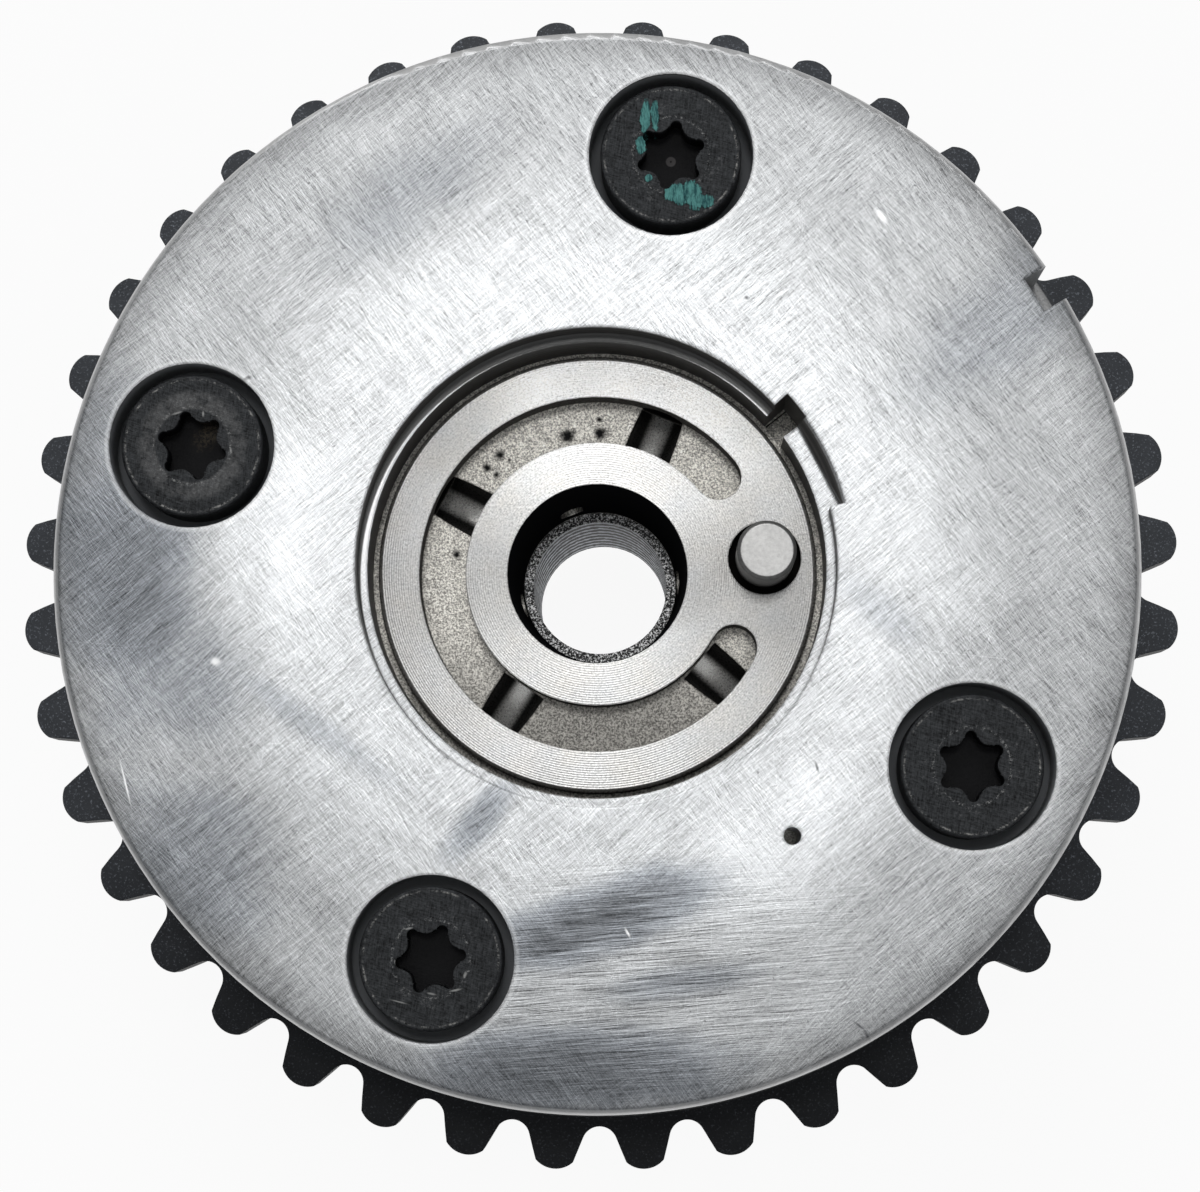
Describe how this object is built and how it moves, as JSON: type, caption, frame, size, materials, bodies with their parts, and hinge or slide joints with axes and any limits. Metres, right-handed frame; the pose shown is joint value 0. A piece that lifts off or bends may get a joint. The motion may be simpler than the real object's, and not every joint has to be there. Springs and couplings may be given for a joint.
{
  "type": "cam phaser",
  "caption": "Vane-type cam phaser: toothed housing for an inverted-tooth chain, bright cover with sunk screws, rotor with oil groove and dowel, lock pin and vane seals.",
  "frame": {"origin": "on the axis of rotation, at the centre of the front plate's resting face", "axes": "+Z along the axis of rotation towards the camshaft side, which faces up; +X and +Y are the right and the top of the camshaft side as seen from above"},
  "size_m": [0.102, 0.102, 0.0405],
  "materials": {
    "sintered_black": "sintered steel, blued black, speckled",
    "ground_steel": "ground face with fine random scratches",
    "front_steel": "ground",
    "black_screw": "black oxide, worn edges",
    "rotor_steel": "sintered, turned seat",
    "pin_steel": "ground pin",
    "hard_steel": "hardened and ground",
    "spring_steel": "spring steel",
    "seal_resin": "moulded seal resin"
  },
  "bodies": {
    "housing": {"sprocket_housing": "sintered_black", "cam_side_cover": "ground_steel", "front_plate": "front_steel", "cover_screws": "black_screw", "lock_bush": "hard_steel", "locating_pin": "pin_steel", "shoe_seal_1": "seal_resin", "shoe_seal_2": "seal_resin", "shoe_seal_3": "seal_resin", "shoe_seal_4": "seal_resin", "shoe_seal_spring_1": "spring_steel", "shoe_seal_spring_2": "spring_steel", "shoe_seal_spring_3": "spring_steel", "shoe_seal_spring_4": "spring_steel"},
    "rotor": {"rotor": "rotor_steel", "dowel_pin": "pin_steel", "lock_pin_cap": "hard_steel", "lock_pin_spring": "spring_steel", "vane_seal_1": "seal_resin", "vane_seal_2": "seal_resin", "vane_seal_3": "seal_resin", "vane_seal_4": "seal_resin", "vane_seal_spring_1": "spring_steel", "vane_seal_spring_2": "spring_steel", "vane_seal_spring_3": "spring_steel", "vane_seal_spring_4": "spring_steel"},
    "lock_pin": {"lock_pin": "hard_steel"}
  },
  "joints": [
    {"name": "rotor_phase", "type": "hinge", "parent": "housing", "child": "rotor", "pos_m": [0, 0, 0.02], "axis": [0, 0, -1], "range_deg": [0, 25]},
    {"name": "lock_pin_slide", "type": "slide", "parent": "rotor", "child": "lock_pin", "axis": [0, 0, 1], "range_m": [0, 0.0035], "stiffness_N_per_m": 1200, "springref_m": -0.003, "deforming": ["lock_pin_spring"]}
  ]
}
